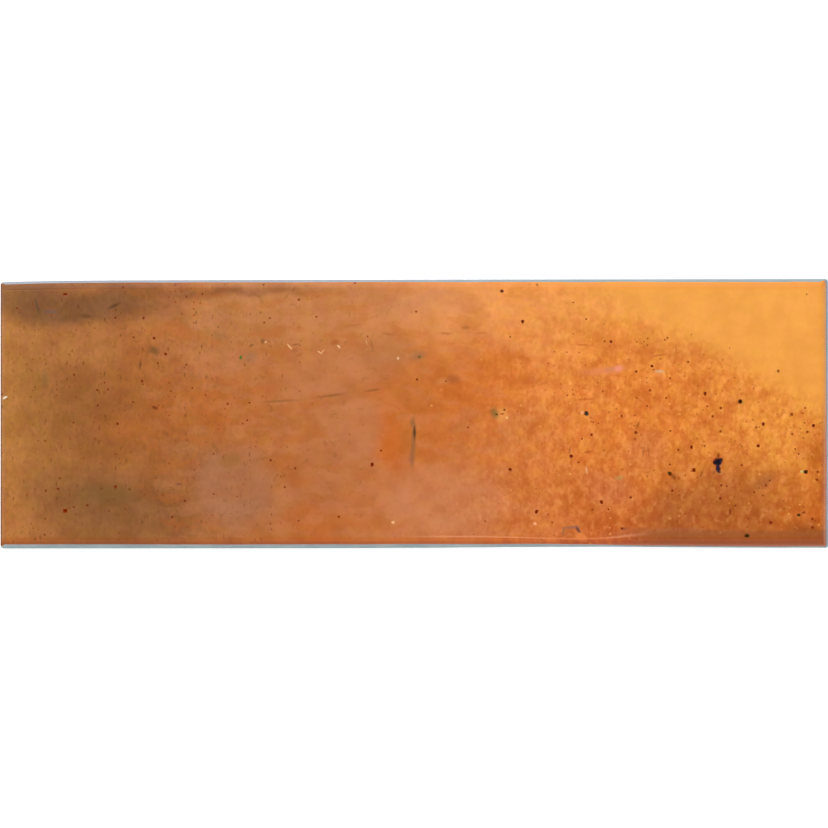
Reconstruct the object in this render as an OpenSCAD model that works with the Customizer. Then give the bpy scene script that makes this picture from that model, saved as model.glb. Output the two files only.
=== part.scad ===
// Glazed ceramic wall tile with a hand-made look, laid on its back with the glazed face up.
// One pressed and fired piece: a keyed back, sides that lean in to the face, a softly rounded
// face edge with mitred corners, and a face that rolls gently like a hand-pressed slab. It is
// a little out of square, as such tiles are: the far side closes in towards the left end.
// Millimetres. X runs along the tile, Y across it, Z up. Origin at the centre of the back.

/* [Tile] */
// Length over the widest line of the ends
tile_length = 200; // [100:1:300]
// Width over the widest line of the long sides
tile_width = 64.8; // [50:0.2:150]
// Height from the back to the flat rim of the glazed face
tile_thickness = 8.6; // [7:0.1:14]
// How much narrower the tile is at its left end than at its right end
taper = 0.5; // [0:0.1:1.5]

/* [Edges] */
// How far each side leans in between its foot and the glazed face
side_lean = 0.6; // [0:0.05:1.5]
// Radius that rounds the glazed face over into the two long sides
face_edge_radius = 1.6; // [0.8:0.1:3]
// Radius that rounds the glazed face over into the two ends
end_edge_radius = 1; // [0.8:0.1:3]
// Flat bevel where the sides meet the back
foot_bevel = 0.6; // [0.2:0.1:1.5]
// Radius of the four corners, seen from above
corner_radius = 0.5; // [0.3:0.1:2]

/* [Rolling face] */
// Mean depth of the face below its rim
face_dish = 0.2; // [0.1:0.01:0.5]
// How far the hollows and crests lie from that mean depth, kept below it
roll_height = 0.15; // [0.01:0.01:0.4]
// Distance from one hollow to the next
roll_pitch = 46; // [25:1:90]
// Width over which the rim blends into the rolling face
rim_blend = 7; // [4:0.5:12]
// Spacing of the points that the rolling face is drawn through
face_step = 5; // [3:0.5:8]

/* [Keyed back] */
// Plain border around the keys
key_border = 4; // [2:0.5:10]
// Width of the rib between two keys, at the back plane
key_rib = 3; // [1.5:0.1:6]
// Distance from one key to the next, fitted to a whole number of keys
key_pitch = 15; // [8:0.5:30]
// Depth of each key
key_depth = 0.5; // [0.2:0.1:1.5]
// Size of the flat that cuts off each corner of a key
key_corner = 1.8; // [0.5:0.1:3]
// Slope of the walls of a key, from upright
key_draft = 40; // [10:5:60]

/* [Hidden] */

overlap = 1;        // how far cutting shapes run past the tile
edge_crossing = 0.02; // how far the rounding stands past the side and the rim, so as to cross both
rim_lift = 0.1;     // height of the rolling surface above the rim at the tile's outline
least_dish = 0.02;  // depth that the crests keep below the rim

// The side line leans in from the top of the foot bevel, at this many millimetres per millimetre.
function lean(radius) = side_lean / (tile_thickness - radius - foot_bevel);

// Where the rounding of a face edge has its centre: its height, and how far in from the outline.
function arc_centre_z(radius) = tile_thickness - radius + edge_crossing;
function arc_centre_in(radius) =
    lean(radius) * (arc_centre_z(radius) - foot_bevel) + radius - edge_crossing;

roll_amount = min(roll_height, face_dish - least_dish);

// Edge section ---------------------------------------------------------------------------------

// Section of one side, with its outline at x = 0: a bevelled foot, a leaning side and a rounded
// face edge of this radius. It is solid for a given depth behind the outline.
module side_section(depth, radius) {
    difference() {
        polygon([
            [foot_bevel, 0], [0, foot_bevel],
            [lean(radius) * (tile_thickness - foot_bevel), tile_thickness],
            [depth, tile_thickness], [depth, 0]
        ]);
        translate([arc_centre_in(radius), arc_centre_z(radius)])
            difference() {
                translate([-radius - overlap, 0]) square(radius + overlap);
                circle(r = radius, $fn = 96);
            }
    }
}

// A block with that section along one side. Its outline runs along X at y = -distance.
module sided_block(distance, run, radius) {
    translate([0, -distance, 0])
        rotate([90, 0, 90])
            linear_extrude(height = run, center = true)
                side_section(2 * distance + overlap, radius);
}

// The far outline, which closes in towards the left end.
function far_line(x) = tile_width / 2 - taper * (1 / 2 - x / tile_length);

// Cuts the upright edge at one corner to a round. The corner opens towards +X and +Y.
module corner_cutter() {
    translate([edge_crossing - corner_radius, edge_crossing - corner_radius, -overlap])
        linear_extrude(height = tile_thickness + 2 * overlap)
            difference() {
                square(corner_radius + overlap);
                circle(r = corner_radius, $fn = 48);
            }
}

// Pressed blank: four sides that meet in mitres, with the upright edges rounded.
module pressed_blank() {
    long_run = tile_length + 2 * overlap;
    short_run = tile_width + 2 * overlap;
    difference() {
        intersection() {
            sided_block(tile_width / 2, long_run, face_edge_radius);
            translate([0, -taper / 2, 0])
                rotate(180 + atan(taper / tile_length))
                    sided_block(tile_width / 2, long_run, face_edge_radius);
            rotate(90) sided_block(tile_length / 2, short_run, end_edge_radius);
            rotate(-90) sided_block(tile_length / 2, short_run, end_edge_radius);
        }
        for (end = [-1, 1]) {
            translate([end * tile_length / 2, far_line(end * tile_length / 2), 0])
                mirror([end < 0 ? 1 : 0, 0, 0]) corner_cutter();
            translate([end * tile_length / 2, -tile_width / 2, 0])
                mirror([end < 0 ? 1 : 0, 0, 0]) mirror([0, 1, 0]) corner_cutter();
        }
    }
}

// Rolling face ---------------------------------------------------------------------------------

function smooth(t) = let (c = max(0, min(1, t))) c * c * (3 - 2 * c);

// Distance in from where the rounded edge meets the rim.
function inset(x, y) = min(
    tile_length / 2 - arc_centre_in(end_edge_radius) - abs(x),
    tile_width / 2 - arc_centre_in(face_edge_radius) + y,
    far_line(x) - arc_centre_in(face_edge_radius) - y
);

// Hollows and crests between -1 and 1: three slow waves that cross at uneven angles.
function roll(x, y) = let (turn = 360 / roll_pitch) (
    1.0 * sin(turn * x + 40) * cos(0.75 * turn * y + 10)
    + 0.6 * sin(turn * (0.6 * x + 0.8 * y) + 110)
    + 0.4 * sin(1.4 * turn * (0.9 * x - 0.7 * y) + 200)
) / 2;

function face_height(x, y) = let (blend = smooth(inset(x, y) / rim_blend))
    tile_thickness + rim_lift * (1 - blend) - blend * (face_dish + roll_amount * roll(x, y));

// A block whose top is the rolling face. It reaches past the tile on every side and below it.
module rolling_block() {
    reach_x = tile_length / 2 + 2 * overlap;
    reach_y = tile_width / 2 + 2 * overlap;
    nx = ceil(2 * reach_x / face_step);
    ny = ceil(2 * reach_y / face_step);
    row = nx + 1;
    count = row * (ny + 1);
    spots = [for (j = [0 : ny], i = [0 : nx])
        [(2 * i / nx - 1) * reach_x, (2 * j / ny - 1) * reach_y]];
    rim = concat(
        [for (i = [0 : nx]) i],
        [for (j = [1 : ny]) j * row + nx],
        [for (i = [nx - 1 : -1 : 0]) ny * row + i],
        [for (j = [ny - 1 : -1 : 1]) j * row]
    );
    polyhedron(
        points = concat(
            [for (p = spots) [p[0], p[1], face_height(p[0], p[1])]],
            [for (k = rim) [spots[k][0], spots[k][1], -overlap]],
            [[0, 0, -overlap]]
        ),
        faces = concat(
            [for (j = [0 : ny - 1], i = [0 : nx - 1]) let (k = j * row + i) [k, k + row, k + 1]],
            [for (j = [0 : ny - 1], i = [0 : nx - 1]) let (k = j * row + i)
                [k + 1, k + row, k + row + 1]],
            [for (k = [0 : len(rim) - 1]) let (next = (k + 1) % len(rim))
                [rim[k], rim[next], count + next]],
            [for (k = [0 : len(rim) - 1]) let (next = (k + 1) % len(rim))
                [rim[k], count + next, count + k]],
            [for (k = [0 : len(rim) - 1]) [count + k, count + (k + 1) % len(rim), count + len(rim)]]
        )
    );
}

// Keyed back -----------------------------------------------------------------------------------

// How many keys fit along a side, and how wide each then is.
function key_field(span) = span - 2 * (foot_bevel + key_border);
function key_count(span) = max(1, round((key_field(span) + key_rib) / key_pitch));
function key_size(span) = (key_field(span) + key_rib) / key_count(span) - key_rib;

// Outline of one key, shrunk by the same amount all round: a rectangle with its corners cut.
function key_outline(shrink) = let (
    x = key_size(tile_length) / 2 - shrink,
    y = key_size(tile_width) / 2 - shrink,
    c = key_corner - shrink * (2 - sqrt(2))
) [
    [x - c, -y], [x, c - y], [x, y - c], [x - c, y],
    [c - x, y], [-x, y - c], [-x, c - y], [c - x, -y]
];

// One key: a shallow sunk panel whose walls slope, so that the press tool lets go. It starts
// below the back, so that its mouth at the back plane has the full outline.
module key() {
    slope = tan(key_draft);
    levels = [[-overlap, -overlap * slope], [key_depth, key_depth * slope]];
    polyhedron(
        points = [for (level = levels) each [for (p = key_outline(level[1])) [p[0], p[1], level[0]]]],
        faces = concat(
            [[0, 1, 2, 3, 4, 5, 6, 7], [15, 14, 13, 12, 11, 10, 9, 8]],
            [for (k = [0 : 7]) [k, k + 8, (k + 1) % 8 + 8, (k + 1) % 8]]
        )
    );
}

module keys() {
    nx = key_count(tile_length);
    ny = key_count(tile_width);
    step_x = key_size(tile_length) + key_rib;
    step_y = key_size(tile_width) + key_rib;
    for (i = [0 : nx - 1], j = [0 : ny - 1])
        translate([(i - (nx - 1) / 2) * step_x, (j - (ny - 1) / 2) * step_y, 0])
            key();
}

// Tile -----------------------------------------------------------------------------------------

module wall_tile() {
    color("peru")
        difference() {
            intersection() {
                pressed_blank();
                rolling_block();
            }
            keys();
        }
}

wall_tile();
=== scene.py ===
import math

import bpy
import numpy as np
from mathutils import Matrix, Vector, noise
from mathutils.bvhtree import BVHTree


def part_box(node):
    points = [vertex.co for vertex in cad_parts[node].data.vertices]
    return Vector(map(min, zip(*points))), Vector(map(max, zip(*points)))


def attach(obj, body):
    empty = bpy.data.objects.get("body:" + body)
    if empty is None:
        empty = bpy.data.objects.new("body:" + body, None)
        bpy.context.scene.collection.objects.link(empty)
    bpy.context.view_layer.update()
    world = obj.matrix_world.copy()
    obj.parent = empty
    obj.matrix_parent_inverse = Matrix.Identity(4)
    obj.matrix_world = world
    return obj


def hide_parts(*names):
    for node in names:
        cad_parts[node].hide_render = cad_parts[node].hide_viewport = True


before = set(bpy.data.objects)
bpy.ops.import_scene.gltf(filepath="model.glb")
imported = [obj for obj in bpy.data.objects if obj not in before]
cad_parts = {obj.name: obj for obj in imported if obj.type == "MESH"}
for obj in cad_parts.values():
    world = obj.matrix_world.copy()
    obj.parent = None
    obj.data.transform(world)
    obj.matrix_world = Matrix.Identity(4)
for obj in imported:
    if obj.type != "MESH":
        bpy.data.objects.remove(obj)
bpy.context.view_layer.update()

# Sizes are in millimetres on the tile, from the centre of its back, and turn into metres only
# where a Blender object is made.
MM = 0.001
low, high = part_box("wall_tile")
HALF_X = (high[0] - low[0]) / 2 / MM
HALF_Y = (high[1] - low[1]) / 2 / MM
TOP = high[2] / MM


def placed(name, data):
    """A new object in the scene."""
    made = bpy.data.objects.new(name, data)
    bpy.context.scene.collection.objects.link(made)
    return made


# ---------- edge section

FOOT = 0.6            # bevel where the sides meet the back
LEAN = 0.6            # how far a side leans in
LONG_RADIUS = 1.6     # rounding of the face edge along the two long sides
END_RADIUS = 1.0      # the same at the two ends
CORNER_RADIUS = 0.5   # corners seen from above
CORNER_BLEND = 2.0    # distance from a corner over which one rounding turns into the other
ARC_START = math.radians(5)   # where the rounding starts, from upright
ARC_SAMPLES = 24
PATH_SAMPLES = 240
PATH_SOFTENING = 7    # samples averaged to soften the bevel's corners
ABOVE_FOOT = 60       # from this sample on, a path is clear of the foot bevel


class Section:
    """Section of a side: distance in from the outline and height, from the back to the rim."""

    def __init__(self, radius):
        centre_z = TOP - radius
        turn = np.linspace(ARC_START, math.radians(90), ARC_SAMPLES)
        points = np.array([(FOOT, 0.0), (0.0, FOOT), (LEAN, centre_z)] + [
            (LEAN + radius * (1 - math.cos(t)), centre_z + radius * math.sin(t)) for t in turn])
        run = np.concatenate([[0], np.cumsum(np.hypot(*np.diff(points, axis=0).T))])
        self.run = np.linspace(0, run[-1], PATH_SAMPLES)
        self.inward, self.height = (self.softened(np.interp(self.run, run, points[:, k]))
                                    for k in (0, 1))
        self.length = self.run[-1]
        self.rim_in = self.inward[-1]

    @staticmethod
    def softened(values):
        pad = PATH_SOFTENING // 2
        kernel = np.ones(PATH_SOFTENING) / PATH_SOFTENING
        return np.concatenate([values[:pad], np.convolve(values, kernel, "valid"), values[-pad:]])

    def at(self, run):
        return np.interp(run, self.run, self.inward), np.interp(run, self.run, self.height)

    def run_at(self, inward):
        """Where along the section, above the foot, it lies this far in."""
        return np.interp(inward, self.inward[ABOVE_FOOT:], self.run[ABOVE_FOOT:])


LONG_SECTION, END_SECTION = Section(LONG_RADIUS), Section(END_RADIUS)
INNER_X = HALF_X - END_SECTION.rim_in
INNER_Y = HALF_Y - LONG_SECTION.rim_in


# ---------- face relief

EDGE_CELL = 0.22      # spacing of the face's points near the rim
EDGE_BAND = 2.2       # width of that close spacing
ACROSS_CELL = 0.46    # spacing across the tile
PLAIN_CELL = 0.52     # spacing along the tile, where the glaze has few pits
PITTED_CELL = 0.36    # the same where it has many
PITTED_FROM = 14.0    # where along the tile the close spacing starts

# The larger dark pinholes in the glaze, which are modelled too: x, y and radius
PINHOLES = (
    (73.8, -11.8, 1.0), (73.9, -13.5, 0.55), (79.2, 2.7, 0.46), (42.2, -0.1, 0.5), (80.9, -29.6, 0.5),
    (95.0, -14.2, 0.42), (62.4, -14.7, 0.42), (67.5, -8.2, 0.34), (68.1, -13.8, 0.38),
    (83.6, -7.9, 0.38), (84.8, -2.7, 0.38), (96.9, -3.1, 0.36), (70.8, 4.7, 0.36), (58.0, 11.3, 0.32),
    (26.8, 22.1, 0.38), (21.8, 29.4, 0.36), (30.3, 30.9, 0.32), (48.1, 17.2, 0.34), (43.4, -5.2, 0.3),
    (38.5, -10.4, 0.42), (23.8, -13.6, 0.36), (30.1, -23.8, 0.38), (45.8, -21.5, 0.34),
    (93.4, -24.6, 0.34), (-9.5, -12.3, 0.4), (-83.7, 28.8, 0.36), (-62.3, 18.2, 0.3),
    (-59.4, 14.3, 0.3), (-71.6, -17.6, 0.36), (-83.7, -23.4, 0.4),
)
# The shape of each, in its own radii: its depth, how far its wall reaches, and the faint ring
# that stands up round it (height, radius and width)
PINHOLE_DEPTH = 0.45
PINHOLE_REACH = 1.15
RING_HEIGHT, RING_AT, RING_WIDTH = 0.05, 1.6, 0.35

# The solid's flat facets are blurred over this many grid cells, and waves in the glaze are added:
# height, size and seed. Both come in over a distance from the rim.
FACET_BLUR, FACET_BLEND = 6, 4
WAVES, WAVE_BLEND = ((0.018, 11, 3.1), (0.006, 3.2, 7.7)), 2.5

# A raised line in the glaze near the near side, where it sagged and set. It starts at this
# height across the tile, and bends by each amount between two places along it.
SAG_ENDS = (-2, 72)
SAG_START = -29.7
SAG_BENDS = ((14, 38, -0.5), (44, 60, 1.2))
SAG_HEIGHT = 0.035
SAG_WIDTH = 0.22
SAG_TAPER = 6         # it tapers over one part in this many of its length, at each end


def axis_points(half, inner):
    """Points along one axis: the inner ones, and closer ones in the band by each rim."""
    near = np.arange(round(EDGE_BAND / EDGE_CELL)) * EDGE_CELL - half
    return np.concatenate([near, inner, -near[::-1]])


def spread(start, stop, cell):
    return np.linspace(start, stop, round((stop - start) / cell) + 1)


def smooth(t):
    t = np.clip(t, 0, 1)
    return t * t * (3 - 2 * t)


def blurred(field, cells):
    """Gaussian blur by this many grid cells, with the border held."""
    reach = int(3 * cells)
    weights = np.exp(-0.5 * (np.arange(-reach, reach + 1) / cells) ** 2)
    weights /= weights.sum()
    for axis in (0, 1):
        padded = np.pad(field, [(reach, reach) if a == axis else (0, 0) for a in (0, 1)], "edge")
        field = np.apply_along_axis(lambda r: np.convolve(r, weights, "valid"), axis, padded)
    return field


def lump(x, y, size, seed):
    """Smooth noise between -1 and 1 at one place, in lumps of this size."""
    return noise.noise(Vector((x / size, y / size, seed)))


def lumps_over(gx, gy, size, seed):
    return np.array([lump(x, y, size, seed) for x, y in zip(gx.flat, gy.flat)]).reshape(gx.shape)


def face_heights(gx, gy):
    """The face: the solid's own rolling surface, made smooth, with the glaze's fine relief."""
    tree = BVHTree.FromObject(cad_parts["wall_tile"], bpy.context.evaluated_depsgraph_get())
    z = np.empty(gx.shape)
    for k, (a, b) in enumerate(zip(gx.flat, gy.flat)):
        hit = tree.ray_cast(Vector((a * MM, b * MM, 1)), Vector((0, 0, -1)))[0]
        z.flat[k] = hit[2] / MM
    inset = np.minimum(INNER_X - np.abs(gx), INNER_Y - np.abs(gy))
    z += (blurred(z, FACET_BLUR) - z) * smooth(inset / FACET_BLEND)
    for height, size, seed in WAVES:
        z += smooth(inset / WAVE_BLEND) * height * lumps_over(gx, gy, size, seed)
    along = (gx - SAG_ENDS[0]) / (SAG_ENDS[1] - SAG_ENDS[0])
    line = SAG_START + sum(rise * smooth((gx - x0) / (x1 - x0)) for x0, x1, rise in SAG_BENDS)
    ends = smooth(along * SAG_TAPER) * smooth((1 - along) * SAG_TAPER)
    z += SAG_HEIGHT * ends * np.exp(-((gy - line) / SAG_WIDTH) ** 2)
    for px, py, radius in PINHOLES:
        d = np.hypot(gx - px, gy - py) / radius
        z -= PINHOLE_DEPTH * radius * (1 - smooth(d / PINHOLE_REACH))
        z += RING_HEIGHT * radius * np.exp(-((d - RING_AT) / RING_WIDTH) ** 2)
    return z


# ---------- tile mesh

SLOTS = ("glaze", "biscuit", "pit")   # materials, in the order of the piece's slots
PIT_SHARE = 0.95      # how much of a pinhole's radius is bare burnt clay
BARE_ROWS = 9         # rows of points on the bare side
GLAZED_ROWS = 11      # rows on the glazed rounding
GRAIN, GRAIN_SIZE = 0.03, 1.1   # roughness of the bare side

# The glaze swells out just above its lower edge, by about this much, and thins out higher up
LIP = 0.09
LIP_REACH = 0.9
LIP_START = 0.15      # how far into the swelling its lower edge already is
LIP_GAIN = 1.6        # brings the highest point of the swelling to about LIP

# Its lower edge wanders: amount, size and seed. Neighbouring points are averaged.
WANDER = ((0.09, 11, 1.7), (0.05, 3.5, 5.2))
WANDER_AVERAGE = 9

# Keys of the back, as in the solid, with the height and the shrinkage of a key's outline at its
# mouth, just inside it, at the foot of its wall and on its floor
KEY_BORDER = 4
KEY_RIB = 3
KEY_PITCH = 15
KEY_DEPTH = 0.5
KEY_CORNER = 1.8
KEY_SLOPE = math.tan(math.radians(40))
KEY_LEVELS = ((0, 0), (0.06, 0.1), (KEY_DEPTH - 0.07, 0.07 + KEY_SLOPE * KEY_DEPTH),
              (KEY_DEPTH, 0.2 + KEY_SLOPE * KEY_DEPTH))

# The far side falls back within a short run of the left end, and the near side is hollow at a
# place right of the middle: how far, and over what run
FAR_DROP, FAR_DROP_RUN = 0.45, 13.0
NEAR_HOLLOW, NEAR_HOLLOW_RUN, NEAR_HOLLOW_AT = 0.27, 30, 38


def glaze_line(x, y, side):
    """Distance in from the outline, seen from above, at which the glaze starts."""
    t = np.array((x + HALF_X) / (2 * HALF_X))
    wander = sum(amount * lump(x, y, size, seed) for amount, size, seed in WANDER)
    inward = {
        "far": 0.74 + 0.24 * t + 0.12 * math.exp(-(x + HALF_X) / 14),
        "near": 0.93 - 0.46 * smooth((t - 0.4) / 0.5) - 0.14 * smooth((t - 0.7) / 0.15),
        "left": 0.25,
        "right": 0.30,
    }[side]
    return float(inward + wander * min(1.0, 3 * inward))


def lip(above):
    """How far the glaze stands out, from its lower edge (0) to where it has thinned out (1)."""
    swell = math.sin(math.pi * (LIP_START + (1 - LIP_START) * above))
    return LIP * swell * (1 - above) * LIP_GAIN


def in_pinhole(x, y):
    """Whether each of these places is inside one of the pinholes."""
    found = np.zeros(x.shape, bool)
    for px, py, radius in PINHOLES:
        found |= np.hypot(x - px, y - py) < PIT_SHARE * radius
    return found


def perimeter(nx, ny):
    """Grid index and side of each border point, anticlockwise from the near left corner."""
    loop = [(i, 0, "near") for i in range(nx - 1)]
    loop += [(nx - 1, j, "right") for j in range(ny - 1)]
    loop += [(i, ny - 1, "far") for i in range(nx - 1, 0, -1)]
    loop += [(0, j, "left") for j in range(ny - 1, 0, -1)]
    return loop


def ring_point(bx, by, out_x, out_y):
    """A border point moved out by these amounts, on a rectangle with rounded corners."""
    a, b = INNER_X + out_x, INNER_Y + out_y
    x, y = bx * a / INNER_X, by * b / INNER_Y
    r = CORNER_RADIUS * out_y / LONG_SECTION.rim_in
    dx, dy = abs(x) - (a - r), abs(y) - (b - r)
    if r > 0 and dx > 0 and dy > 0:
        k = max(dx, dy) / math.hypot(dx, dy)
        x = math.copysign(a - r + dx * k, x)
        y = math.copysign(b - r + dy * k, y)
    return x, y


def hand_pressed(x, y):
    """Moves a point so that the long sides are not quite straight and not quite parallel."""
    far_in = FAR_DROP * math.exp(-(x + HALF_X) / FAR_DROP_RUN)
    near_in = NEAR_HOLLOW * math.exp(-((x - NEAR_HOLLOW_AT) / NEAR_HOLLOW_RUN) ** 2)
    t = y / HALF_Y
    far = max(0.0, min(1.0, t)) ** 2
    near = max(0.0, min(1.0, -t)) ** 2
    return y - far_in * far + near_in * near


def key_cells(half):
    field = 2 * (half - FOOT - KEY_BORDER)
    count = max(1, round((field + KEY_RIB) / KEY_PITCH))
    return count, (field + KEY_RIB) / count


def octagon(x, y, c):
    return [(x - c, -y), (x, c - y), (x, y - c), (x - c, y),
            (c - x, y), (-x, y - c), (-x, c - y), (c - x, -y)]


class Shell:
    """The tile's points and faces as they are added, with each face's material and shading."""

    def __init__(self):
        self.verts, self.faces, self.kinds, self.curved = [], [], [], []

    def face(self, loop, kind, round_shaded=True):
        self.faces.append(loop)
        self.kinds.append(SLOTS.index(kind))
        self.curved.append(round_shaded)


def add_face(shell, xs, ys):
    """The glazed face, as a grid of points."""
    nx, ny = len(xs), len(ys)
    gx, gy = np.meshgrid(xs, ys)
    gz = face_heights(gx, gy)
    shell.verts += list(zip(gx.flat, gy.flat, gz.flat))
    pitted = in_pinhole((gx[1:, 1:] + gx[:-1, :-1]) / 2, (gy[1:, 1:] + gy[:-1, :-1]) / 2)
    for j in range(ny - 1):
        for i in range(nx - 1):
            k = j * nx + i
            shell.face((k, k + 1, k + nx + 1, k + nx), "pit" if pitted[j, i] else "glaze")


def side_point(x, y, side, line, kind, t):
    """A point of the side. t goes from 0 to 1 down the glaze to its lower edge, or on down."""
    inward, height = {}, {}
    for section in (LONG_SECTION, END_SECTION):
        run = section.length + (line - section.length) * t if kind == "glaze" else line * (1 - t)
        inward[section], height[section] = section.at(run)
        above = (run - line) / LIP_REACH
        if kind == "glaze" and above < 1:
            inward[section] -= lip(above)
    on_end = side in ("left", "right")
    to_corner = INNER_Y - abs(y) if on_end else INNER_X - abs(x)
    share = 0.5 + 0.5 * float(smooth(to_corner / CORNER_BLEND))
    own, other = (END_SECTION, LONG_SECTION) if on_end else (LONG_SECTION, END_SECTION)
    z = share * height[own] + (1 - share) * height[other]
    x, y = ring_point(x, y, END_SECTION.rim_in - inward[END_SECTION],
                      LONG_SECTION.rim_in - inward[LONG_SECTION])
    if kind == "biscuit" and t < 1:
        place = Vector((x / GRAIN_SIZE, y / GRAIN_SIZE, z / GRAIN_SIZE))
        grain = abs(GRAIN * noise.noise(place))
        if on_end:
            x -= math.copysign(grain, x)
        else:
            y -= math.copysign(grain, y)
    return x, y, z


def add_sides(shell, xs, ys):
    """The rounded edge and the sides, in rings down to the back. Gives the last ring."""
    border = perimeter(len(xs), len(ys))
    count = len(border)
    ring = [j * len(xs) + i for i, j, _ in border]
    lines = []
    for i, j, side in border:
        section = LONG_SECTION if side in ("near", "far") else END_SECTION
        lines.append(section.run_at(glaze_line(xs[i], ys[j], side)))
    pad = WANDER_AVERAGE // 2
    kernel = np.ones(WANDER_AVERAGE) / WANDER_AVERAGE
    lines = np.convolve(lines[-pad:] + lines + lines[:pad], kernel, "valid")
    rows = [("glaze", t) for t in np.linspace(0, 1, GLAZED_ROWS + 1)[1:]]
    rows += [("biscuit", t) for t in np.linspace(0, 1, BARE_ROWS + 1)[1:]]
    for kind, t in rows:
        new = []
        for line, (i, j, side) in zip(lines, border):
            new.append(len(shell.verts))
            shell.verts.append(side_point(xs[i], ys[j], side, line, kind, t))
        for n in range(count):
            m = (n + 1) % count
            shell.face((ring[n], new[n], new[m], ring[m]), kind)
        ring = new
    return ring


def add_key(shell, centre, step, corners):
    """One key of the back, and the flat round it out to its cell's corners."""
    half = [(pitch - KEY_RIB) / 2 for pitch in step]
    loops = []
    for z, shrink in KEY_LEVELS:
        base = len(shell.verts)
        outline = octagon(half[0] - shrink, half[1] - shrink, KEY_CORNER - shrink * (2 - math.sqrt(2)))
        shell.verts += [(centre[0] + a, centre[1] + b, z) for a, b in outline]
        loops.append(list(range(base, base + 8)))
    sw, se, nw, ne = corners
    o = loops[0]
    for flat in ((sw, o[7], o[0], se), (se, o[1], o[2], ne), (ne, o[3], o[4], nw),
                 (nw, o[5], o[6], sw), (se, o[0], o[1]), (ne, o[2], o[3]),
                 (nw, o[4], o[5]), (sw, o[6], o[7])):
        shell.face(flat, "biscuit", False)
    for a, b in zip(loops, loops[1:]):
        for k in range(8):
            m = (k + 1) % 8
            shell.face((a[m], a[k], b[k], b[m]), "biscuit", False)
    shell.face(loops[-1][::-1], "biscuit", False)


def add_back(shell, nx, ny, ring):
    """The keyed back: a grid of sunk panels, and a border that joins it to the last ring."""
    cols, step_x = key_cells(HALF_X)
    rows, step_y = key_cells(HALF_Y)
    corner = {}
    for j in range(rows + 1):
        for i in range(cols + 1):
            corner[i, j] = len(shell.verts)
            shell.verts.append(((i - cols / 2) * step_x, (j - rows / 2) * step_y, 0))
    for j in range(rows):
        for i in range(cols):
            centre = (i + 0.5 - cols / 2) * step_x, (j + 0.5 - rows / 2) * step_y
            add_key(shell, centre, (step_x, step_y),
                    (corner[i, j], corner[i + 1, j], corner[i, j + 1], corner[i + 1, j + 1]))
    spans = [[corner[i, 0] for i in range(cols + 1)],
             [corner[cols, j] for j in range(rows + 1)],
             [corner[i, rows] for i in range(cols, -1, -1)],
             [corner[0, j] for j in range(rows, -1, -1)]]
    starts = [0, nx - 1, nx + ny - 2, 2 * nx + ny - 3, len(ring)]
    for span, start, stop in zip(spans, starts, starts[1:]):
        outer = [ring[n % len(ring)] for n in range(start, stop + 1)]
        shell.face(tuple(span + outer[::-1]), "biscuit", False)


def build_tile():
    shell = Shell()
    xs = axis_points(INNER_X, np.concatenate([
        spread(EDGE_BAND - INNER_X, PITTED_FROM, PLAIN_CELL)[:-1],
        spread(PITTED_FROM, INNER_X - EDGE_BAND, PITTED_CELL)]))
    ys = axis_points(INNER_Y, spread(EDGE_BAND - INNER_Y, INNER_Y - EDGE_BAND, ACROSS_CELL))
    add_face(shell, xs, ys)
    ring = add_sides(shell, xs, ys)
    add_back(shell, len(xs), len(ys), ring)
    points = np.array([(x, hand_pressed(x, y), z) for x, y, z in shell.verts])
    points = np.clip(points, (-HALF_X, -HALF_Y, 0), (HALF_X, HALF_Y, TOP))
    mesh = bpy.data.meshes.new("tile")
    mesh.from_pydata((points * MM).tolist(), [], shell.faces)
    mesh.polygons.foreach_set("material_index", shell.kinds)
    mesh.polygons.foreach_set("use_smooth", shell.curved)
    mesh.update()
    return placed("tile", mesh)


# ---------- node helpers


def linear(red, green, blue):
    """A colour read off a screen, 0 to 255, as the linear value that a shader takes."""
    return tuple((c / 255 / 12.92) if c <= 10 else ((c / 255 + 0.055) / 1.055) ** 2.4
                 for c in (red, green, blue)) + (1.0,)


LEAST_SPOT = 0.45     # the smallest scattered spot, as a share of the largest
SPOT_SOFTNESS = 0.12
BREAK_SIZE = 2.2      # of the noise that breaks wisps up, which is read at a place of its own
BREAK_OFFSET = (50, 30, 0)


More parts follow.
